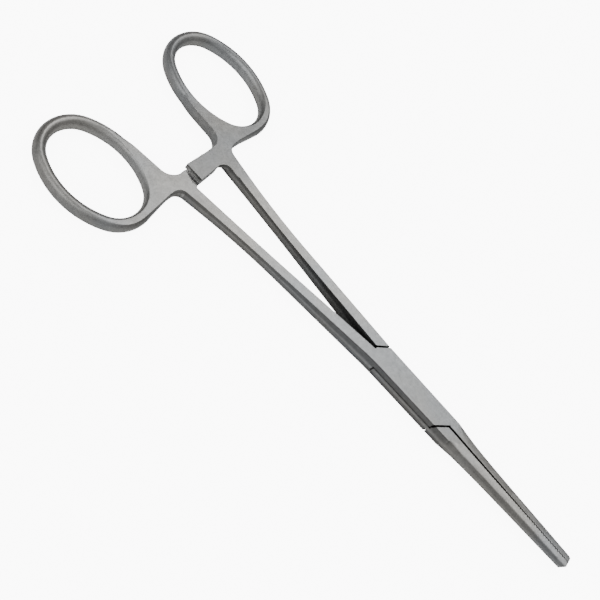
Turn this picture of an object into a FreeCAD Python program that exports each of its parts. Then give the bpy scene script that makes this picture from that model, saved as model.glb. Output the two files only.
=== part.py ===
import FreeCAD, Part
import math
import os
import Sketcher

Vec = FreeCAD.Vector

# Box-lock artery forceps, lying closed. The pin axis is the Z axis, the jaws point along +X, the finger rings
# along -X, and z = 0 is the flat underside of the lock. Sizes are in millimetres and degrees.

SIZES = {
    # Box lock
    "lock_thickness": 5.3,
    "lock_half": 3.45,
    "lock_band": 1.8,
    "step_reach": 13.4,
    "step_gap": 0.32,
    "web_thickness": 1.5,
    "web_play": 0.2,
    "web_end_radius": 10.4,
    "slot_end_play": 0.25,
    "crotch_gap": 0.1,
    # Draft of the forging above and below its straight middle band
    "draft": 14.5,
    # Pivot pin
    "pin_diameter": 2.4,
    "pin_play": 0.05,
    "rivet_diameter": 3.0,
    "rivet_depth": 0.35,
    # Shanks: straight at first, then bowed outwards to the gusset, and thinnest at the waist. A share gives
    # a place along the handle as a part of bar_reach, which is how far the ratchet bars lie from the pin.
    "shank_start": 11.0,
    "shank_start_radius": 60.0,
    "shank_bend_share": 0.726,
    "shank_bend_half": 6.18,
    "shank_bend_radius": 250.0,
    "shank_inner_slope": 0.0965,
    "taper_start": 14.0,
    "waist_start_share": 0.618,
    "waist_end_share": 0.78,
    "waist_thickness": 3.25,
    "waist_radius": 300.0,
    "gusset_start_share": 0.968,
    "gusset_thickness": 3.8,
    # Finger rings, bent by hand, so the two differ a little; the setback is counted from the ratchet bars
    "box_ring_setback": 11.65,
    "box_ring_side": 21.25,
    "box_ring_half_length": 13.85,
    "box_ring_half_width": 9.72,
    "box_ring_flattening": 1.5,
    "box_ring_turn": 2.0,
    "male_ring_setback": 11.45,
    "male_ring_side": 20.52,
    "male_ring_half_length": 14.2,
    "male_ring_half_width": 9.75,
    "male_ring_flattening": 1.5,
    "male_ring_turn": 0.5,
    "ring_wire_width": 3.0,
    "ring_wire_height": 4.3,
    # Facet ground on the rings' crest next to the gusset, measured from the ring's middle along its diagonal
    "facet_start": 18.0,
    "facet_fade": 5.5,
    "facet_end": 2.0,
    "facet_round": 60.0,
    # Gusset between ring, shank and ratchet bar; a rise is counted outwards from the root of the bar
    "neck_setback": 2.9,
    "neck_rise": 3.11,
    "neck_fillet": 2.2,
    "gusset_rise": 2.91,
    "gusset_fillet": 3.6,
    "gusset_round": 20.0,
    "gusset_merge": 5.6,
    # Ratchet bars
    "bar_reach": 74.4,
    "bar_width": 4.4,
    "bar_flare": 0.6,
    "bar_waist_radius": 20.0,
    "bar_length": 9.0,
    "bar_foot": 2.5,
    "bar_fillet": 2.2,
    "bar_shoulder": 1.6,
    "bar_gap": 0.12,
    "tooth_pitch": 1.2,
    "tooth_land": 0.12,
    "tooth_depth": 0.55,
    # Jaws
    "jaw_start": 15.0,
    "jaw_overlap": 0.6,
    "jaw_reach": 59.3,
    "jaw_root_half": 3.27,
    "jaw_tip_half": 2.15,
    "jaw_root_round": 0.48,
    "jaw_round": 1.1,
    "jaw_roof": 11.0,
    "jaw_tip_thickness": 2.9,
    "jaw_lean": 1.05,
    "jaw_root_gap": 0.34,
    "jaw_tip_gap": 0.06,
    "jaw_closed_reach": 37.0,
    "nose_radius": 2.1,
    "nose_edge_radius": 1.2,
    "serration_start": 20.0,
    "serration_pitch": 0.9,
    "serration_land": 0.27,
    "serration_depth": 0.28,
    # How far cutting tools and hidden ends run past the metal
    "overrun": 6.0,
    "hidden_lap": 0.5,
}

doc = FreeCAD.newDocument("forceps")
sheet = doc.addObject("Spreadsheet::Sheet", "Sizes")
for row, (alias, number) in enumerate(SIZES.items(), start=1):
    sheet.set("A%d" % row, alias)
    sheet.set("B%d" % row, str(number))
    sheet.setAlias("B%d" % row, alias)
doc.recompute()


class Size:
    """A length worked out from the sheet: its number now, and the formula that keeps it up to date."""

    def __init__(self, number, formula):
        self.number = float(number)
        self.formula = formula

    def join(self, other, sign, number):
        return Size(number, "(%s %s %s)" % (self.formula, sign, other.formula))

    def __add__(self, other):
        other = size(other)
        return self.join(other, "+", self.number + other.number)

    def __sub__(self, other):
        other = size(other)
        return self.join(other, "-", self.number - other.number)

    def __mul__(self, other):
        other = size(other)
        return self.join(other, "*", self.number * other.number)

    def __truediv__(self, other):
        other = size(other)
        return self.join(other, "/", self.number / other.number)

    def __radd__(self, other):
        return size(other) + self

    def __rsub__(self, other):
        return size(other) - self

    def __rmul__(self, other):
        return size(other) * self

    def __rtruediv__(self, other):
        return size(other) / self

    def __neg__(self):
        return size(0) - self

    def root(self):
        return Size(math.sqrt(self.number), "sqrt(%s)" % self.formula)

    def tan(self):
        return Size(math.tan(math.radians(self.number)), "tan(%s * 1 deg)" % self.formula)

    def sin(self):
        return Size(math.sin(math.radians(self.number)), "sin(%s * 1 deg)" % self.formula)

    def cos(self):
        return Size(math.cos(math.radians(self.number)), "cos(%s * 1 deg)" % self.formula)


def size(value):
    if isinstance(value, Size):
        return value
    return Size(value, "(%.6g)" % value)


class Named:
    """Reads a size of the sheet by its alias."""

    def __getattr__(self, alias):
        return Size(sheet.get(alias), "Sizes.%s" % alias)


S = Named()


def bind(item, name, value):
    value = size(value)
    item.setExpression(name, value.formula)


def place(item, x=0, y=0, z=0, rotation=None):
    x, y, z = size(x), size(y), size(z)
    item.Placement = FreeCAD.Placement(Vec(x.number, y.number, z.number), rotation or FreeCAD.Rotation())
    bind(item, "Placement.Base.x", x)
    bind(item, "Placement.Base.y", y)
    bind(item, "Placement.Base.z", z)


def pin_point(sketch, index, end, x, y):
    """Holds one point of a sketch at its worked-out place."""
    for kind, value in (("DistanceX", x), ("DistanceY", y)):
        value = size(value)
        row = sketch.addConstraint(Sketcher.Constraint(kind, -1, 1, index, end, value.number))
        sketch.setExpression("Constraints[%d]" % row, value.formula)


def new_sketch(name, x=0, y=0, z=0, rotation=None):
    sketch = doc.addObject("Sketcher::SketchObject", name)
    place(sketch, x, y, z, rotation)
    return sketch


def outline(name, corners, **where):
    """A closed outline of straight edges; a corner with a third value is rounded to that radius."""
    sketch = new_sketch(name, **where)
    corners = [(size(c[0]), size(c[1]), size(c[2]) if len(c) > 2 else None) for c in corners]
    count = len(corners)
    spots = [Vec(c[0].number, c[1].number, 0) for c in corners]
    starts, ends, arcs = [], [], []
    for i, corner in enumerate(corners):
        back = (spots[i - 1] - spots[i]).normalize()
        ahead = (spots[(i + 1) % count] - spots[i]).normalize()
        if corner[2] is None:
            starts.append(spots[i])
            ends.append(spots[i])
            arcs.append(None)
            continue
        half = back.getAngle(ahead) / 2
        run = corner[2].number / math.tan(half)
        middle = (back + ahead).normalize() * (corner[2].number / math.sin(half)) + spots[i]
        before = spots[i] + back * run
        after = spots[i] + ahead * run
        turn = back.cross(ahead).z
        first, last = (before, after) if turn < 0 else (after, before)
        angles = [math.atan2(p.y - middle.y, p.x - middle.x) for p in (first, last)]
        circle = Part.Circle(middle, Vec(0, 0, 1), corner[2].number)
        arcs.append((Part.ArcOfCircle(circle, angles[0], angles[1]), turn < 0, middle))
        starts.append(after)
        ends.append(before)
    lines = []
    for i in range(count):
        lines.append(sketch.addGeometry(Part.LineSegment(starts[i], ends[(i + 1) % count]), False))
    for i, corner in enumerate(corners):
        before, after = lines[i - 1], lines[i]
        if arcs[i] is None:
            sketch.addConstraint(Sketcher.Constraint("Coincident", before, 2, after, 1))
            pin_point(sketch, after, 1, corner[0], corner[1])
            continue
        arc = sketch.addGeometry(arcs[i][0], False)
        first_end, last_end = (1, 2) if arcs[i][1] else (2, 1)
        sketch.addConstraint(Sketcher.Constraint("Tangent", before, 2, arc, first_end))
        sketch.addConstraint(Sketcher.Constraint("Tangent", after, 1, arc, last_end))
        row = sketch.addConstraint(Sketcher.Constraint("Radius", arc, corner[2].number))
        sketch.setExpression("Constraints[%d]" % row, corner[2].formula)
        point = sketch.addGeometry(Part.Point(spots[i]), True)
        pin_point(sketch, point, 1, corner[0], corner[1])
        sketch.addConstraint(Sketcher.Constraint("PointOnObject", point, 1, before))
        sketch.addConstraint(Sketcher.Constraint("PointOnObject", point, 1, after))
    return sketch


def extrude(name, sketch, up, down=0, draft=None, direction=(0, 0, 1)):
    body = doc.addObject("Part::Extrusion", name)
    body.Base = sketch
    body.DirMode = "Custom"
    body.Dir = Vec(*direction)
    body.Solid = True
    bind(body, "LengthFwd", up)
    bind(body, "LengthRev", down)
    if draft is not None:
        bind(body, "TaperAngle", -draft)
    return body


def fuse(name, pieces):
    body = doc.addObject("Part::MultiFuse", name)
    body.Shapes = pieces
    return body


def cut(name, base, tool):
    body = doc.addObject("Part::Cut", name)
    body.Base = base
    body.Tool = tool
    return body


def group(name, pieces):
    body = doc.addObject("Part::Compound", name)
    body.Links = pieces
    return body


half_thick = S.lock_thickness / 2
gusset_top = S.gusset_thickness / 2
wall_depth = half_thick - S.lock_band / 2
lean = S.jaw_lean.tan()
bar_root = (S.bar_reach - S.step_reach) * S.shank_inner_slope
shank_bend = S.bar_reach * S.shank_bend_share
step_shift = S.step_gap / 2 * size(2).root()
ACROSS = FreeCAD.Rotation(Vec(0, 1, 0), Vec(0, 0, 1), Vec(1, 0, 0), "XYZ")
SIDEWAYS = FreeCAD.Rotation(Vec(1, 0, 0), Vec(0, 0, 1), Vec(0, -1, 0), "XYZ")
BAR_TEETH = 6


class Half:
    """Which half is made: side tells where its handle lies along Y, level where its ratchet bar lies along Z."""

    def __init__(self, name, side, level):
        self.name = name
        self.side = side
        self.level = level
        self.ring_reach = S.bar_reach + getattr(S, name + "_ring_setback")
        self.ring_side = getattr(S, name + "_ring_side")
        self.ring_half_length = getattr(S, name + "_ring_half_length")
        self.ring_half_width = getattr(S, name + "_ring_half_width")
        self.ring_flattening = getattr(S, name + "_ring_flattening")
        self.ring_turn = getattr(S, name + "_ring_turn") * -side

    def on_ring(self, along, across):
        """Plan point given along and across the ring, from its middle."""
        x = along * self.ring_turn.cos() - across * self.ring_turn.sin() - self.ring_reach
        y = along * self.ring_turn.sin() + across * self.ring_turn.cos() + self.side * self.ring_side
        return x, y

    def plan(self, corners):
        """Turns plan corners given for a handle at +Y into those of this half."""
        return [(corner[0], self.side * corner[1]) + tuple(corner[2:]) for corner in corners]


def mirrored(name, source):
    body = doc.addObject("Part::Mirroring", name)
    body.Source = source
    body.Normal = Vec(0, 0, 1)
    return body


def forging(half):
    """Shank, lock and gusset of one half as forged: drafted walls above and below a straight middle band."""
    ring_inner = half.ring_side - half.ring_half_width
    front = S.jaw_start + S.jaw_overlap
    shift = half.side * lean * front
    plan = outline(half.name + "_plan", half.plan([
        (front, -S.jaw_root_half - shift),
        (front, S.jaw_root_half - shift),
        (-S.shank_start, S.lock_half, S.shank_start_radius),
        (-shank_bend, S.shank_bend_half, S.shank_bend_radius),
        (S.neck_setback - S.bar_reach, bar_root + S.neck_rise, S.neck_fillet),
        (half.ring_half_length - half.ring_reach, half.ring_side),
        (-half.ring_reach, half.ring_side),
        (-half.ring_reach - S.gusset_merge, ring_inner),
        (-half.ring_reach, ring_inner - S.ring_wire_width / 2, S.gusset_round),
        (-S.bar_reach, bar_root + S.gusset_rise, S.gusset_fillet),
        (-S.bar_reach, bar_root - S.bar_shoulder),
        (S.bar_width - S.bar_reach, bar_root - S.bar_width * S.shank_inner_slope),
        (-S.step_reach, 0),
        (-S.step_reach, -S.lock_half),
        (-S.shank_start, -S.lock_half),
    ]), z=S.lock_band / 2)
    upper = extrude(half.name + "_upper", plan, wall_depth, S.lock_band / 2, S.draft)
    return [upper, mirrored(half.name + "_lower", upper)]


def thinning(half):
    """What is ground off both faces behind the lock: down to the shank's waist, then up again to the gusset."""
    waist_top = S.waist_thickness / 2
    above = half_thick + S.overrun
    beyond = -half.ring_reach - half.ring_half_length
    profile = outline(half.name + "_thinning", [
        (-S.taper_start, half_thick),
        (-S.taper_start, above),
        (beyond, above),
        (beyond, gusset_top),
        (-S.bar_reach * S.gusset_start_share, gusset_top, S.facet_round),
        (-S.bar_reach * S.waist_end_share, waist_top, S.waist_radius),
        (-S.bar_reach * S.waist_start_share, waist_top, S.waist_radius),
    ], rotation=SIDEWAYS)
    width = half.ring_side + S.overrun
    upper = extrude(half.name + "_thinning_above", profile, width, width, direction=(0, 1, 0))
    return group(half.name + "_thinning_tools", [upper, mirrored(half.name + "_thinning_below", upper)])


def oval(name, half, shrink=0):
    """A ring's centre line, or an oval inside it: two end arcs joined by two flatter side arcs."""
    sketch = new_sketch(name)
    end_radius = half.ring_half_width - half.ring_flattening - shrink
    half_width = half.ring_half_width - shrink
    offset = half.ring_half_length - half.ring_half_width + half.ring_flattening
    flat = (half_width * half_width + offset * offset - end_radius * end_radius) / (2 * half.ring_flattening)
    swing = math.radians(half.ring_turn.number)
    join = math.atan2(flat.number - half_width.number, offset.number)
    places = []
    for along, across, radius, first, last in (
        (offset, size(0), end_radius, -join, join),
        (size(0), half_width - flat, flat, join, math.pi - join),
        (-offset, size(0), end_radius, math.pi - join, math.pi + join),
        (size(0), flat - half_width, flat, math.pi + join, 2 * math.pi - join),
    ):
        x, y = half.on_ring(along, across)
        places.append((x, y, radius))
        circle = Part.Circle(Vec(x.number, y.number, 0), Vec(0, 0, 1), radius.number)
        sketch.addGeometry(Part.ArcOfCircle(circle, first + swing, last + swing), False)
    for i in range(4):
        sketch.addConstraint(Sketcher.Constraint("Tangent", i, 2, (i + 1) % 4, 1))
    for i in (0, 2):
        pin_point(sketch, i, 3, places[i][0], places[i][1])
        row = sketch.addConstraint(Sketcher.Constraint("Radius", i, places[i][2].number))
        sketch.setExpression("Constraints[%d]" % row, places[i][2].formula)
    for i in (1, 3):
        row = sketch.addConstraint(Sketcher.Constraint("DistanceY", -1, 1, i, 3, places[i][1].number))
        sketch.setExpression("Constraints[%d]" % row, places[i][1].formula)
    return sketch


def finger_ring(half):
    """Wire of oval section, swept along the ring's centre line, with its crest ground beside the gusset."""
    name = half.name + "_ring"
    path = oval(name + "_path", half)
    x, y = half.on_ring(size(0), half.ring_half_width)
    turned = FreeCAD.Rotation(Vec(0, 0, 1), half.ring_turn.number) * ACROSS
    section = new_sketch(name + "_section", x=x, y=y, rotation=turned)
    height, width = S.ring_wire_height, S.ring_wire_width
    wire = Part.Ellipse(Vec(0, height.number / 2, 0), Vec(width.number / 2, 0, 0), Vec(0, 0, 0))
    section.addGeometry(wire, False)
    section.exposeInternalGeometry(0)
    pin_point(section, 0, 3, 0, 0)
    section.addConstraint(Sketcher.Constraint("Vertical", 1))
    for axis, length in ((1, height), (2, width)):
        row = section.addConstraint(Sketcher.Constraint("Distance", axis, length.number))
        section.setExpression("Constraints[%d]" % row, length.formula)
    ring = doc.addObject("Part::Sweep", name + "_wire")
    ring.Sections = [section]
    ring.Spine = (path, ["Edge1", "Edge2", "Edge3", "Edge4"])
    ring.Solid = True
    return cut(name, ring, ring_facets(half))


def ring_facets(half):
    """What the belt takes off a ring's crest: level with the gusset beside it, running out along the ring."""
    outward = Vec(-1, half.side, 0).normalize()
    along = outward.cross(Vec(0, 0, 1))
    middle = (half.ring_reach + half.ring_side) / size(2).root()
    above = half_thick + S.overrun
    profile = outline(half.name + "_facet", [
        (middle - S.facet_start, gusset_top),
        (middle - S.facet_end - S.facet_fade, gusset_top, S.facet_round),
        (middle - S.facet_end, S.ring_wire_height / 2),
        (middle - S.facet_end, above),
        (middle - S.facet_start, above),
    ], rotation=FreeCAD.Rotation(outward, Vec(0, 0, 1), along, "XYZ"))
    reach = half.ring_half_length * 2
    upper = extrude(half.name + "_facet_above", profile, reach, reach, direction=along)
    return group(half.name + "_facets", [upper, mirrored(half.name + "_facet_below", upper)])


def groove(name, along, deep, wide, depth, length, crest):
    """A straight V groove: wide at its mouth, narrowing to a line at its depth, which lies at the crest."""
    tool = doc.addObject("Part::Wedge", name)
    for edge, value in (
        ("Xmin", 0), ("Xmax", wide), ("Ymin", 0), ("Ymax", depth), ("Zmin", 0), ("Zmax", length),
        ("X2min", crest), ("X2max", crest), ("Z2min", 0), ("Z2max", length),
    ):
        bind(tool, edge, value)
    tool.Placement.Rotation = FreeCAD.Rotation(Vec(*along), Vec(*deep), Vec(*along).cross(Vec(*deep)), "XYZ")
    return tool


def ratchet_bar(half):
    """The bar that reaches across to the other shank, toothed on the face that meets the other's bar."""
    name = half.name + "_bar"
    side, level = half.side, half.level
    front = S.bar_width - S.bar_reach
    front_root = bar_root - S.bar_width * S.shank_inner_slope
    tip = bar_root - S.bar_length
    foot = front_root - S.bar_foot * S.shank_inner_slope
    plan = outline(name + "_plan", half.plan([
        (-S.bar_reach, bar_root + S.bar_foot),
        (-S.bar_reach, bar_root - S.bar_foot, S.bar_waist_radius),
        (-S.bar_reach - S.bar_flare, tip),
        (front, tip),
        (front, front_root, S.bar_fillet),
        (front + S.bar_foot * 2, foot - S.bar_foot * S.shank_inner_slope),
        (front + S.bar_foot * 2, foot + S.hidden_lap),
    ]))
    low, high = -S.bar_gap / 2, half_thick
    if level < 0:
        low, high = high, low
    blank = extrude(name + "_blank", plan, high, low)
    grooves = []
    length = S.bar_width + S.bar_flare + S.overrun
    for i in range(BAR_TEETH):
        tool = groove("%s_groove_%d" % (name, i), (0, side, 0), (0, 0, level), S.tooth_pitch - S.tooth_land,
                      S.tooth_depth, length, 0)
        start = front + S.overrun / 2 - (length if side * level > 0 else 0)
        place(tool, start, side * (tip + S.tooth_land * 2 + i * S.tooth_pitch), level * S.bar_gap / 2,
              tool.Placement.Rotation)
        grooves.append(tool)
    return cut(name, blank, group(name + "_grooves", grooves))


def jaw(half):
    """One jaw: drawn through four sections, low-roofed on both faces, round on its outer side and nose."""
    name = half.name + "_jaw"
    side = half.side
    roof = S.jaw_roof.tan()
    stations = (
        (0, S.jaw_root_round, roof * 0),
        (0.25, S.jaw_round * 0.9, roof * 0.8),
        (0.6, S.jaw_round, roof),
        (1, S.jaw_round, roof),
    )
    sections = []
    for i, (share, bow, slope) in enumerate(stations):
        x = S.jaw_start + (S.jaw_reach - S.jaw_start) * share
        top = half_thick - (half_thick - S.jaw_tip_thickness / 2) * share
        width = S.jaw_root_half - (S.jaw_root_half - S.jaw_tip_half) * share
        sections.append(jaw_section("%s_section_%d" % (name, i), side, x, top, width, bow, slope))
    bar = doc.addObject("Part::Loft", name + "_bar")
    bar.Sections = sections
    bar.Solid = True
    bar.Ruled = False
    inner = side * S.hidden_lap
    plan = outline(name + "_nose_plan", [
        (S.jaw_start, inner - lean * S.jaw_start),
        (S.jaw_start, -side * (S.jaw_root_half + S.hidden_lap) - lean * S.jaw_start),
        (S.jaw_reach, -side * S.jaw_tip_half - lean * S.jaw_reach, S.nose_radius),
        (S.jaw_reach, inner - lean * S.jaw_reach),
    ])
    nose_top = S.jaw_tip_thickness / 2
    profile = outline(name + "_nose_profile", [
        (S.jaw_start, half_thick + S.hidden_lap),
        (S.jaw_start, -half_thick - S.hidden_lap),
        (S.jaw_reach, -nose_top, S.nose_edge_radius),
        (S.jaw_reach, nose_top, S.nose_edge_radius),
    ], rotation=SIDEWAYS)
    shaped = doc.addObject("Part::MultiCommon", name)
    shaped.Shapes = [
        bar,
        extrude(name + "_nose_in_plan", plan, S.overrun, S.overrun),
        extrude(name + "_nose_in_profile", profile, S.overrun, S.overrun, direction=(0, 1, 0)),
    ]
    return shaped


def jaw_section(name, side, x, top, width, bow, slope):
    """A jaw's section: flat inner side, roofs falling outwards at the slope, outer side bowed by one arc."""
    section = new_sketch(name, x=x, y=-lean * x, rotation=ACROSS)
    inner = side * S.hidden_lap
    flat = -side * (width - bow)
    eave = top - slope * (width - bow)
    corners = [(inner, -top), (flat, -eave), (flat, eave), (inner, top)]
    spots = [Vec(c[0].number, c[1].number, 0) for c in corners]
    for k in (0, 2, 3):
        section.addGeometry(Part.LineSegment(spots[k], spots[(k + 1) % 4]), False)
    section.addGeometry(Part.Arc(spots[1], Vec(-side * width.number, 0, 0), spots[2]), False)
    ends = ((0, 1), (0, 2), (1, 1), (1, 2))
    for (line, end), corner in zip(ends, corners):
        pin_point(section, line, end, corner[0], corner[1])
    section.addConstraint(Sketcher.Constraint("Coincident", 1, 2, 2, 1))
    section.addConstraint(Sketcher.Constraint("Coincident", 2, 2, 0, 1))
    first, last = (1, 2) if side < 0 else (2, 1)
    section.addConstraint(Sketcher.Constraint("Coincident", 0, 2, 3, first))
    section.addConstraint(Sketcher.Constraint("Coincident", 1, 1, 3, last))
    radius = (eave * eave + bow * bow) / (2 * bow)
    row = section.addConstraint(Sketcher.Constraint("Radius", 3, radius.number))
    section.setExpression("Constraints[%d]" % row, radius.formula)
    return section


def serrations(half):
    """Cross grooves along the inner face of a jaw, from the serration start to just behind the nose."""
    name, side = half.name + "_serrations", half.side
    run = S.jaw_reach - S.nose_edge_radius - S.serration_start
    count = int(run.number / S.serration_pitch.number)
    mouth = S.serration_pitch - S.serration_land
    deep = S.serration_depth + S.jaw_tip_gap
    grooves = []
    for i in range(count):
        x = S.serration_start + i * S.serration_pitch
        tool = groove("%s_%d" % (name, i), (-side, 0, 0), (0, -side, 0), mouth, deep, S.overrun * 2, mouth / 2)
        place(tool, x, side * S.jaw_tip_gap / 2 - lean * x, -S.overrun, tool.Placement.Rotation)
        grooves.append(tool)
    return group(name, grooves)


def plate(name, corners, low, high):
    """A flat tool or slab with the given plan, between two levels."""
    return extrude(name, outline(name + "_plan", corners), high, -low)


def disc(name, radius, low, high):
    body = doc.addObject("Part::Cylinder", name)
    bind(body, "Radius", radius)
    bind(body, "Height", high - low)
    place(body, z=low)
    return body


def whole(half):
    """One half before the lock is worked: forging, ratchet bar, finger ring and jaw in one piece."""
    blank = fuse(half.name + "_forging", forging(half) + [ratchet_bar(half)])
    hole = extrude(half.name + "_ring_hole", oval(half.name + "_hole_plan", half, S.ring_wire_width / 8),
                   S.overrun, S.overrun)
    ground = cut(half.name + "_ground", blank, thinning(half))
    opened = cut(half.name + "_opened", ground, hole)
    return fuse(half.name + "_whole", [opened, finger_ring(half), jaw(half)])


def split_edge(side):
    """Plan points of one jaw's inner edge: a gap at the lock that closes further out."""
    reach = S.jaw_reach + S.overrun
    return [
        (S.jaw_closed_reach, -side * S.jaw_tip_gap / 2 - lean * S.jaw_closed_reach),
        (reach, -side * S.jaw_tip_gap / 2 - lean * reach),
        (reach, side * S.overrun),
    ]


# Pin: a plain rivet whose two countersunk heads are ground flush with the lock.
wide, narrow = S.rivet_diameter / 2, S.pin_diameter / 2
rivet = [disc("pin_shaft", narrow, -half_thick, half_thick)]
for name, z, lower, upper in (
    ("pin_head_under", -half_thick, wide, narrow),
    ("pin_head_top", half_thick - S.rivet_depth, narrow, wide),
):
    head = doc.addObject("Part::Cone", name)
    bind(head, "Radius1", lower)
    bind(head, "Radius2", upper)
    bind(head, "Height", S.rivet_depth)
    place(head, z=z)
    rivet.append(head)
lock_pin = fuse("lock_pin", rivet)

# Box half: handle at -Y, jaw at +Y. The steps are cut right through, and the slot for the web between its walls.
box = Half("box", -1, -1)
through = half_thick + S.overrun
edge = S.crotch_gap / 2
jaw_gap = S.jaw_root_gap / 2
box_root = jaw_gap - lean * S.step_reach
slot_half = S.web_thickness / 2 + S.web_play
slot_side = edge + S.web_play / 2
box_tools = fuse("box_tools", [
    plate("box_rear_step", [
        (-shank_bend, -edge),
        (-S.step_reach - edge + step_shift, -edge),
        (-S.step_reach + S.overrun + step_shift, S.overrun),
        (-shank_bend, S.overrun),
    ], -through, through),
    plate("box_front_step", [
        (S.step_reach + box_root - step_shift, box_root),
    ] + split_edge(box.side) + [
        (S.step_reach - S.overrun - step_shift, -S.overrun),
    ], -through, through),
    disc("slot_round", S.web_end_radius + S.slot_end_play, -slot_half, slot_half),
    plate("slot_rear", [
        (-S.step_reach - S.slot_end_play, -slot_side),
        (size(0), -slot_side),
        (size(0), S.overrun),
        (-S.step_reach - S.slot_end_play, S.overrun),
    ], -slot_half, slot_half),
    plate("slot_front", [
        (size(0), -S.overrun),
        (S.step_reach, -S.overrun),
        (S.step_reach, slot_side),
        (size(0), slot_side),
    ], -slot_half, slot_half),
    serrations(box),
    fuse("rivet_hole", rivet),
])
box_half = cut("box_half", whole(box), box_tools)

# Male half: handle at +Y, jaw at -Y. Between the steps it is milled down from both faces to the web.
male = Half("male", 1, 1)
male_root = -jaw_gap - lean * S.step_reach
web_half = S.web_thickness / 2
milled = [
    (-S.step_reach - step_shift - S.overrun, -S.overrun),
    (S.step_reach + step_shift - S.overrun, -S.overrun),
    (S.step_reach + step_shift + S.overrun, S.overrun),
    (-S.step_reach - step_shift + S.overrun, S.overrun),
]
rear = plate("male_rear_block", [
    (-shank_bend, edge),
    (-shank_bend, -S.overrun),
    (size(0), -S.overrun),
    (size(0), edge),
], -through, through)
front = plate("male_front_block", [
    (size(0), male_root),
    (S.step_reach, male_root),
] + split_edge(male.side) + [
    (size(0), S.overrun),
], -through, through)
web_round = disc("web_round", S.web_end_radius, -through - S.hidden_lap, through + S.hidden_lap)
male_tools = fuse("male_tools", [
    plate("milled_top", milled, web_half, through),
    plate("milled_under", milled, -through, -web_half),
    cut("male_rear_step", rear, web_round),
    cut("male_front_step", front, web_round),
    serrations(male),
    disc("web_bore", narrow + S.pin_play, -half_thick, half_thick),
])
male_half = cut("male_half", whole(male), male_tools)

NODES = [box_half, male_half, lock_pin]
for node in NODES:
    node.Label = node.Name
    bind(node, "Placement.Base.z", half_thick)
doc.recompute()

for item in doc.Objects:
    if "Invalid" in item.State or "Error" in item.State:
        raise RuntimeError("%s failed to rebuild" % item.Name)
os.makedirs("parts", exist_ok=True)
for node in NODES:
    if node.Shape.isNull() or not node.Shape.isValid() or len(node.Shape.Solids) != 1:
        raise RuntimeError("%s is not one valid solid" % node.Name)
for node in NODES:
    node.Shape.exportStep("parts/%s.step" % node.Label)
    print(node.Label, round(node.Shape.Volume, 2), node.Shape.BoundBox)
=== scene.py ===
"""Hemostat forceps, closed on the first ratchet tooth, lying on a pale studio floor.

The two forged halves and the pin of the lock come with the frame; every length is in metres.
"""

import math

import bmesh
import bpy
import numpy as np
from mathutils import Euler, Matrix, Vector


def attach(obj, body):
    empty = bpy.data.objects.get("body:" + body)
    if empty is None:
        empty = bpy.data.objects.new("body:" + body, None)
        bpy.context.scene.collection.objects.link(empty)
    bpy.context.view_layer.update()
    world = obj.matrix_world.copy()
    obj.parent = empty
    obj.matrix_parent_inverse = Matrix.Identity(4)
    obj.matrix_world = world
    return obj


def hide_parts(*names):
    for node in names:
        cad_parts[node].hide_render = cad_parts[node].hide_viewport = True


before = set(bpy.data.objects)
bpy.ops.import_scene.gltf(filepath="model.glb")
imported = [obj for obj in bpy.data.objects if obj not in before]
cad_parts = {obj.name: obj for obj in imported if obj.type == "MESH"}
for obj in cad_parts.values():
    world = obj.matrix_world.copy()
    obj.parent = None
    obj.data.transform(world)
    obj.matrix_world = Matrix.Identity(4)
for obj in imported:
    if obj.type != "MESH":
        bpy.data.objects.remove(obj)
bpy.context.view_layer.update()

# Camera
# It looks down on the forceps from beside the shanks, about 57 degrees above the floor and 0.2 m away.
# It stands nearer to the rings than to the tip, and is rolled over to lay the forceps corner to corner.

camera = bpy.data.cameras.new("photo_camera")
camera.sensor_width = 36.0
camera.lens = 49.77
camera.clip_start, camera.clip_end = 0.01, 20.0
viewpoint = bpy.data.objects.new("photo_camera", camera)
stand = Vector((-0.0487916, -0.1102034, 0.1675539))
turn = Euler([math.radians(angle) for angle in (20.925637, -25.867719, 40.692071)])
viewpoint.matrix_world = Matrix.Translation(stand) @ turn.to_matrix().to_4x4()
bpy.context.scene.collection.objects.link(viewpoint)
bpy.context.scene.camera = viewpoint

# Forged halves
# Both halves are one stainless forging each: ground flat on the faces, drafted at the sides,
# then glass-beaded and brushed along the length, which leaves a satin grey.

# Height at half thickness, and an X that bounds the rings on the side of the lock.
middle = 0.00265
ring_start = -0.0700


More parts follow.
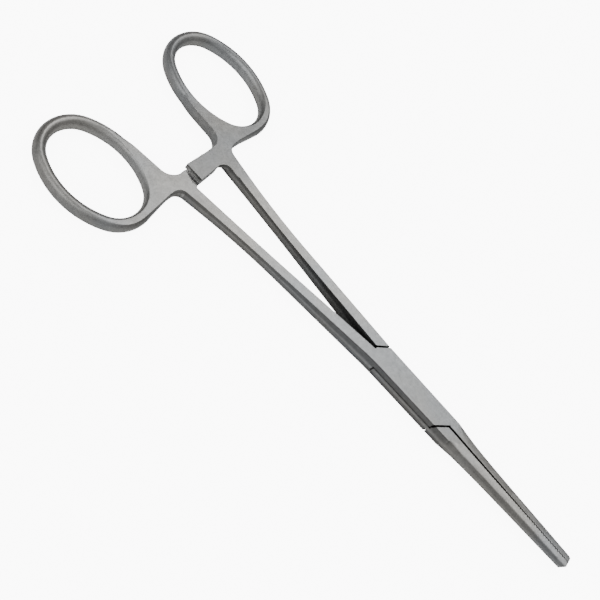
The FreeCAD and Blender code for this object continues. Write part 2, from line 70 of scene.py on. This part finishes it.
class Shade:
    """A node socket that takes part in arithmetic: each operator adds its own Math node."""

    tree = None

    def __init__(self, socket):
        self.socket = socket

    @classmethod
    def node(cls, kind, out=0, settings=None, **values):
        """Adds a node of a kind, sets its settings, then its inputs by name, and gives one output."""
        made = cls.tree.nodes.new(kind)
        for name, value in (settings or {}).items():
            setattr(made, name, value)
        for name, value in values.items():
            key = int(name[1:]) if name[0] == "_" else name.replace("_", " ")
            if isinstance(value, Shade):
                cls.tree.links.new(value.socket, made.inputs[key])
            else:
                made.inputs[key].default_value = value
        return cls(made.outputs[out])

    @classmethod
    def vector(cls, operation, *parts, out="Vector"):
        """Vector maths on its parts, which are sockets or plain vectors."""
        named = {f"_{i}": part for i, part in enumerate(parts)}
        return cls.node("ShaderNodeVectorMath", out=out, settings={"operation": operation}, **named)

    def math(self, operation, *others, swap=False):
        parts = (*others, self) if swap else (self, *others)
        named = {f"_{i}": part for i, part in enumerate(parts)}
        return Shade.node("ShaderNodeMath", settings={"operation": operation}, **named)

    def __abs__(self):
        return self.math("ABSOLUTE")

    def __add__(self, other):
        return self.math("ADD", other)

    def __sub__(self, other):
        return self.math("SUBTRACT", other)

    def __rsub__(self, other):
        return self.math("SUBTRACT", other, swap=True)

    def __mul__(self, other):
        return self.math("MULTIPLY", other)

    def __truediv__(self, other):
        return self.math("DIVIDE", other)

    __radd__ = __add__
    __rmul__ = __mul__

    def step(self, start, end):
        """Rises smoothly from 0 at start to 1 at end; where start is the larger, it falls."""
        return Shade.node("ShaderNodeMapRange", settings={"interpolation_type": "SMOOTHSTEP"},
                          _0=self, _1=start, _2=end)

    def inside(self, low, high):
        """1 between two edges and 0 outside; each edge is a pair, where it is 0 and where it is 1."""
        return self.step(*low) * self.step(*high)


def noise(vector, scale, detail, roughness):
    """Noise about a mean of 0."""
    cloud = Shade.node("ShaderNodeTexNoise", Vector=vector, Scale=scale, Detail=detail, Roughness=roughness)
    return cloud - 0.5


def flat_face_light_and_shade(x, y, ground):
    """Ground faces: the shanks a little lighter with painted light, the male half's gusset and bar darker
    with painted shade.
    """
    shank, shank_gain = x.inside((-0.0620, -0.0560), (-0.0160, -0.0240)), 0.08
    male_gusset, gusset_loss = x.step(-0.0600, -0.0680) * y.step(-0.0042, -0.0034), 0.28
    return (shank * shank_gain - male_gusset * gusset_loss) * ground + 1.0


def wall_painted_shade(x, level, ground):
    """Painted shade on the drafted sides between the rings and the tip: darker away from half thickness, less
    so at the jaws.
    """
    loss, spared_at_jaws = 0.50, 0.6
    past_rings = x.step(-0.0740, ring_start)
    at_jaws = x.step(0.014, 0.018)
    side = (1.0 - ground) * level.step(0.0001, 0.0012)
    return 1.0 - side * past_rings * (1.0 - at_jaws * spared_at_jaws) * loss


def shank_side_light_and_shade(x, height, ground):
    """Sides of the shanks: a painted highlight along the foot and a streak of painted shade just below half
    thickness.
    """
    foot, foot_gain = height.step(-0.0007, -0.0014), 0.45
    dark, dark_loss = abs(height + 0.0002).step(0.0006, 0.0001), 0.22
    on_side = (1.0 - ground) * x.inside((-0.0670, -0.0620), (-0.0150, -0.0200))
    return (foot * foot_gain - dark * dark_loss) * on_side + 1.0


def ring_light_and_shade(place, x, ring, ground):
    """Wire of a ring, painted light and shade: the distance from its middle, in radii of an oval on the wire,
    parts its two sides.
    """
    half_length, half_width = 0.0139, 0.0097
    outer_wall, outer_gain, outer_loss = (0.97, 1.06), 0.55, 0.04
    inner_wall, inner_gain = (0.95, 0.88), 0.22
    from_ring = Shade.vector("MULTIPLY_ADD", place, (1.0 / half_length, 1.0 / half_width, 0.0),
                             (-ring[0] / half_length, -ring[1] / half_width, 0.0))
    radius = Shade.vector("LENGTH", from_ring, out="Value")
    far_side = Shade.node("ShaderNodeSeparateXYZ", out="Y", Vector=from_ring).step(0.1, 0.8)
    # Painted highlight on the far outer wall, a little painted shade on the near one, painted light on the
    # inner edge.
    tone = radius.step(*outer_wall) * (far_side * outer_gain - outer_loss)
    tone = tone + radius.step(*inner_wall) * inner_gain
    return tone * x.step(ring_start, -0.0740) * (1.0 - ground) + 1.0


def lock_gap_shade(x, y, height, ground):
    """Painted shade in the gaps at the lock, 1 in a gap: the slanting steps, the split of the jaws, the slot
    and its ends.

    Each is drawn where the distance from its line is small: |(y - x) sign(x) + foot| / sqrt(2) for the
    steps, |y + lean x| over a width that narrows with x for the split, and the distance from its lips and
    from its two ends for the slot.
    """
    level, far_out, beside = abs(height), abs(x), abs(y)
    step_foot, diagonal, step_width = 0.0134, 0.707, (0.00034, 0.00020)
    step_ends = (0.0094, 0.0097), (0.0135, 0.0133)
    steps = (abs((y - x) * x.math("SIGN") + step_foot) * diagonal).step(*step_width)
    steps = steps * far_out.inside(*step_ends)

    lean, root_width, narrowing, kept_at_tip = 0.0183, 0.00045, 0.0055, 0.35
    split = (abs(x * lean + y) / (root_width - x * narrowing)).step(1.1, 0.65)
    split = split * x.step(0.0129, 0.0132) * (x.step(0.055, 0.030) * (1.0 - kept_at_tip) + kept_at_tip)

    lip, slot_end, upper_share = 0.00085, 0.00997, 0.75
    slot = abs(level - lip).step(0.00028, 0.00018) * far_out.step(0.0104, 0.0102)
    slot = slot * (height.step(-0.0001, 0.0001) * upper_share + (1.0 - upper_share))
    ends = abs(far_out - slot_end).step(0.00026, 0.00018) * level.step(0.0010, 0.0009)
    ends = ends * (x * y).step(0.0, 0.000001) * beside.step(0.0024, 0.0026)

    mouth_rise, mouth_depth, spared_on_faces = 0.034, (0.0017, 0.0022), 0.9
    mouth = (x.math("MAXIMUM", 0.0) * mouth_rise + level).step(*mouth_depth).math("MAXIMUM", ground)
    slot_on_sides = slot.math("MAXIMUM", ends) * (1.0 - ground * spared_on_faces)
    return (steps.math("MAXIMUM", split) * mouth).math("MAXIMUM", slot_on_sides)


def ratchet(x, y, level):
    """Between the two bars: painted light where light falls in, and painted light and shade on the teeth, a
    saw-tooth wave along Y.
    """
    pitch, contrast = 0.0012, 2.6
    on_bars = x.inside((-0.0756, -0.0752), (-0.0698, -0.0702))
    lit = on_bars * level.step(0.0013, 0.0010) * abs(y).step(0.0046, 0.0044)
    teeth = on_bars * level.step(0.0012, 0.0007) * abs(y).inside((0.0028, 0.0031), (0.0092, 0.0090))
    return lit, teeth * ((y / pitch).math("FRACT") * contrast - 1.0) + 1.0


def steel(name, ring):
    """Satin steel: one tint times the noise of the finish and a factor for each pattern of painted light and
    shade.

    Ground faces are lighter than the sides, which carry painted shade, and edges brighter still with a
    painted highlight. No edge is drawn over the pin, where the flush heads would show as steps.
    """
    tint, roughness = (0.265, 0.265, 0.262), 0.50
    pin_rim, rim_blur = 0.0017, 0.0001
    edge_radius, crevice_depth = 0.00024, 0.0007
    side_shade_share, edge_highlight_gain, lit_gain, deepest_shade, gap_shade_depth = 0.80, 0.45, 0.95, 0.22, 0.97
    made = bpy.data.materials.new(name)
    made.use_nodes = True
    Shade.tree = made.node_tree
    shader = made.node_tree.nodes["Principled BSDF"]

    place = Shade.node("ShaderNodeTexCoord", out="Object")
    x = Shade.node("ShaderNodeSeparateXYZ", out="X", Vector=place)
    y = Shade(x.socket.node.outputs["Y"])
    height = Shade(x.socket.node.outputs["Z"]) - middle
    level = abs(height)

    facing = Shade.node("ShaderNodeNewGeometry", out="Normal")
    ground = abs(Shade.node("ShaderNodeSeparateXYZ", out="Z", Vector=facing)).step(0.84, 0.99)
    round_edge = Shade.node("ShaderNodeBevel", settings={"samples": 8}, Radius=edge_radius)
    turned = Shade.vector("DOT_PRODUCT", facing, round_edge, out="Value")
    from_pin = Shade.vector("LENGTH", Shade.vector("MULTIPLY", place, (1.0, 1.0, 0.0)), out="Value")
    clear = from_pin.step(pin_rim, pin_rim + rim_blur)
    # Painted highlight along the edges, where the rounded normal turns from the true one, none over the pin.
    edge_highlight = turned.step(0.9995, 0.96) * clear
    crevice_shade = Shade.node("ShaderNodeAmbientOcclusion", out="AO", settings={"samples": 8},
                         Distance=crevice_depth)

    brushed = Shade.node("ShaderNodeMapping", Vector=place, Scale=(140.0, 2400.0, 2400.0))
    marks = noise(brushed, scale=1.0, detail=5.0, roughness=0.65)
    clouds = noise(place, scale=150.0, detail=4.0, roughness=0.6)
    grit = noise(place, scale=3000.0, detail=3.0, roughness=0.7)
    mottle = noise(place, scale=750.0, detail=3.0, roughness=0.6)
    warmth = noise(place, scale=45.0, detail=2.0, roughness=0.5)

    lit, teeth = ratchet(x, y, level)
    # Painted shade in hollows from ambient occlusion, lifted by painted light between the bars.
    open_to_light = crevice_shade.step(0.05, 0.80) * (1.0 - deepest_shade) + lit * lit_gain + deepest_shade
    shade = clouds * 0.30 + marks * 0.50 + grit * 0.60 + mottle * 0.55 + 1.0
    # Painted shade on the sides and a painted highlight on the edges.
    shade = shade * (ground * (1.0 - side_shade_share) + side_shade_share) * (edge_highlight * edge_highlight_gain + 1.0) * open_to_light * teeth
    shade = shade * flat_face_light_and_shade(x, y, ground) * wall_painted_shade(x, level, ground) * shank_side_light_and_shade(x, height, ground)
    shade = shade * ring_light_and_shade(place, x, ring, ground) * (1.0 - lock_gap_shade(x, y, height, ground) * gap_shade_depth)
    cool = (tint[0] * 0.97, tint[1], tint[2] * 1.03, 1.0)
    warm = (tint[0] * 1.02, tint[1], tint[2] * 0.96, 1.0)
    patch = Shade.node("ShaderNodeMix", out=2, settings={"data_type": "RGBA"},
                       _0=warmth.step(-0.12, 0.12), _6=cool, _7=warm)
    colour = Shade.node("ShaderNodeVectorMath", settings={"operation": "SCALE"}, _0=patch, Scale=shade)
    made.node_tree.links.new(colour.socket, shader.inputs["Base Color"])
    gloss = clouds * 0.12 + marks * 0.20 - ground * 0.05 + roughness
    made.node_tree.links.new(gloss.socket, shader.inputs["Roughness"])
    shader.inputs["Metallic"].default_value = 1.0

    blunt = Shade.node("ShaderNodeMix", out=1, settings={"data_type": "VECTOR"},
                       _0=clear, _4=facing, _5=round_edge)
    relief = marks * 0.4 + grit * 0.3 + mottle * 0.5
    bumped = Shade.node("ShaderNodeBump", Strength=0.7, Distance=0.00005, Height=relief, Normal=blunt)
    made.node_tree.links.new(bumped.socket, shader.inputs["Normal"])
    return made


def blended_neck(name, start, end):
    """Metal that fills the corner of neck and ring, as a section of height and depth carried along Y.

    Y runs evenly from start to end, while X eases over as 3 along^2 - 2 along^3. Each place is X on the
    flat top, X at half thickness, and Y. A point of the section is a reach into the forging, a share of
    the way from the top's X to the other, and a height over half thickness; the lower half mirrors it.
    """
    places, reach = 25, 0.001
    start, end = sorted((start, end), key=lambda place: place[2])
    along = np.linspace(0.0, 1.0, places)[:, None]
    ease = along * along * (3.0 - 2.0 * along)
    top, side = (start[i] + (end[i] - start[i]) * ease for i in (0, 1))
    upper = np.array([(-reach, 0.0, 0.001899), (0.0, 0.0, 0.001899), (0.0, 0.42, 0.00155),
                      (0.0, 0.75, 0.0012), (0.0, 0.97, 0.0007), (0.0, 1.0, 0.0)])
    inward, share, rise = np.concatenate([upper, upper[-2::-1] * (1.0, 1.0, -1.0)]).T
    spots = np.stack(np.broadcast_arrays(top + inward + (side - top) * share,
                                         start[2] + (end[2] - start[2]) * along, middle + rise), axis=-1)
    around = len(rise)
    corner = np.arange(around)
    before = np.roll(corner, 1)
    quads = np.stack([before, corner, corner + around, before + around], axis=-1)
    quads = (quads + around * np.arange(places - 1)[:, None, None]).reshape(-1, 4)
    first, last = corner[::-1], corner + around * (places - 1)
    mesh = bpy.data.meshes.new(name)
    mesh.from_pydata(spots.reshape(-1, 3).tolist(), [], [*quads.tolist(), first.tolist(), last.tolist()])
    return mesh


def level_ring(name, ring):
    """A merged copy of a half, with the crest of its ring ground level with the gusset beside it.

    A face that stands above the gusset is first cut at that height. Then no point of the ring may be
    higher than top, which rises evenly from gusset to crest along the diagonal away from the lock.
    """
    gusset, crest, hair = 0.00190, 0.00215, 0.00002
    fade_start, fade_length = -0.0075, 0.0055
    shape = bmesh.new()
    shape.from_mesh(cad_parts[name].data)
    shape.transform(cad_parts[name].matrix_world)
    bmesh.ops.remove_doubles(shape, verts=shape.verts, dist=1e-6)
    for sign in (-1, 1):
        high = [face for face in shape.faces if face.calc_center_median().x < ring_start
                and max(sign * (vert.co.z - middle) for vert in face.verts) > gusset + hair]
        edges = {edge for face in high for edge in face.edges}
        corners = {vert for face in high for vert in face.verts}
        bmesh.ops.bisect_plane(shape, geom=[*corners, *edges, *high], dist=1e-7,
                               plane_co=(0.0, 0.0, middle + sign * gusset), plane_no=(0.0, 0.0, sign))
    mesh = bpy.data.meshes.new(name + "_rough")
    shape.to_mesh(mesh)
    shape.free()
    spots = np.empty(3 * len(mesh.vertices), dtype=np.float32)
    mesh.vertices.foreach_get("co", spots)
    x, y, z = spots.reshape(-1, 3).T.astype(float)
    across = (abs(x) + abs(y) - abs(ring[0]) - abs(ring[1])) / math.sqrt(2.0)
    top = gusset + (crest - gusset) * np.clip((across - fade_start) / fade_length, 0.0, 1.0)
    proud = (x < ring_start) & (abs(z - middle) > top)
    z = np.where(proud, middle + np.copysign(top, z - middle), z)
    mesh.vertices.foreach_set("co", np.stack([x, y, z], axis=-1).astype(np.float32).ravel())
    return mesh


def dressed(name, body, ring, neck, ring_end, material):
    """A half as it leaves the belt: its ring level with the gusset, and the neck blended into the ring."""
    sharp_angle, level_face = math.radians(24.0), 0.9995
    parts = [bpy.data.objects.new(name + "_rough", level_ring(name, ring)),
             bpy.data.objects.new(name + "_neck", blended_neck(name + "_neck", neck, ring_end))]
    for part in parts:
        bpy.context.scene.collection.objects.link(part)
    weld = parts[0].modifiers.new("weld", "BOOLEAN")
    weld.operation, weld.solver, weld.object = "UNION", "EXACT", parts[1]
    mesh = bpy.data.meshes.new_from_object(parts[0].evaluated_get(bpy.context.evaluated_depsgraph_get()))
    mesh.name = name + "_ground"
    for part in parts:
        bpy.data.objects.remove(part)
    mesh.shade_smooth()
    mesh.set_sharp_from_angle(angle=sharp_angle)
    normals = np.empty(3 * len(mesh.polygons), dtype=np.float32)
    mesh.polygons.foreach_get("normal", normals)
    mesh.polygons.foreach_set("use_smooth", abs(normals[2::3]) < level_face)
    mesh.materials.clear()
    mesh.materials.append(material)
    piece = bpy.data.objects.new(name + "_ground", mesh)
    bpy.context.scene.collection.objects.link(piece)
    even = piece.modifiers.new("even_flats", "WEIGHTED_NORMAL")
    even.mode, even.weight, even.keep_sharp = "FACE_AREA", 80, True
    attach(piece, body)
    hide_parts(name)


# For each half: the middle of its ring in plan, then the two ends of the corner that is filled.
for name, body, ring, neck, ring_end in (
        ("box_half", "box", (-0.08605, -0.02125),
         (-0.07192, -0.07166, -0.0116), (-0.07150, -0.07084, -0.0213)),
        ("male_half", "male", (-0.08585, 0.02052),
         (-0.07179, -0.07153, 0.0116), (-0.07094, -0.07029, 0.0204))):
    dressed(name, body, ring, neck, ring_end, steel("satin_steel_" + body, ring))

# Pin of the lock
# A stainless pin riveted over at both faces and ground flush, in the same satin as the halves.
# It is too far from the rings to show their painted light and shade, so the middle that steel asks for lies
# between them.

pin_steel = steel("pin_steel", (-0.086, 0.0))
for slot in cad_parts["lock_pin"].material_slots:
    slot.material = pin_steel

# Floor and light
# A white table top that the lens sees overexposed, a soft box beyond the forceps that lights the flat
# faces, one at the tip, a larger one in front, and a tent that is brighter overhead and towards the tip.

floor_mesh = bpy.data.meshes.new("floor")
reach = 6.0
corners = [(-reach, -reach, 0.0), (reach, -reach, 0.0), (reach, reach, 0.0), (-reach, reach, 0.0)]
floor_mesh.from_pydata(corners, [], [(0, 1, 2, 3)])
floor = bpy.data.objects.new("floor", floor_mesh)
bpy.context.scene.collection.objects.link(floor)
white = bpy.data.materials.new("table_top")
white.use_nodes = True
Shade.tree = white.node_tree
paper = white.node_tree.nodes["Principled BSDF"]
paper.inputs["Base Color"].default_value = (0.85, 0.85, 0.85, 1.0)
paper.inputs["Roughness"].default_value = 0.8
paper.inputs["Specular IOR Level"].default_value = 0.1
paper.inputs["Emission Strength"].default_value = 9.0
seen = Shade.node("ShaderNodeLightPath", out="Is Camera Ray")
white.node_tree.links.new(seen.socket, paper.inputs["Emission Color"])
floor_mesh.materials.append(white)


def lamp(name, spot, size, power):
    """A square soft box at a spot, turned to face the forceps."""
    light = bpy.data.lights.new(name, "AREA")
    light.shape, light.size, light.energy = "SQUARE", size, power
    holder = bpy.data.objects.new(name, light)
    holder.matrix_world = Matrix.Translation(spot) @ Vector(spot).to_track_quat("Z", "Y").to_matrix().to_4x4()
    bpy.context.scene.collection.objects.link(holder)


lamp("far_soft_box", spot=(-0.08, 0.66, 1.22), size=0.7, power=7.0)
lamp("side_soft_box", spot=(0.57, 0.25, 1.25), size=0.6, power=5.0)
lamp("near_soft_box", spot=(-0.50, -1.00, 0.80), size=0.9, power=11.0)

world = bpy.data.worlds.new("tent")
world.use_nodes = True
Shade.tree = world.node_tree
sky = Shade.node("ShaderNodeTexCoord", out="Generated")
overhead = Shade.node("ShaderNodeSeparateXYZ", out="Z", Vector=sky)
sideways = Shade(overhead.socket.node.outputs["X"])
glow = overhead.step(0.0, 0.9) * 0.26 + sideways.step(-0.9, 0.4) * 0.24 + 0.18
world.node_tree.nodes["Background"].inputs["Color"].default_value = (1.0, 1.0, 1.0, 1.0)
world.node_tree.links.new(glow.socket, world.node_tree.nodes["Background"].inputs["Strength"])
bpy.context.scene.world = world
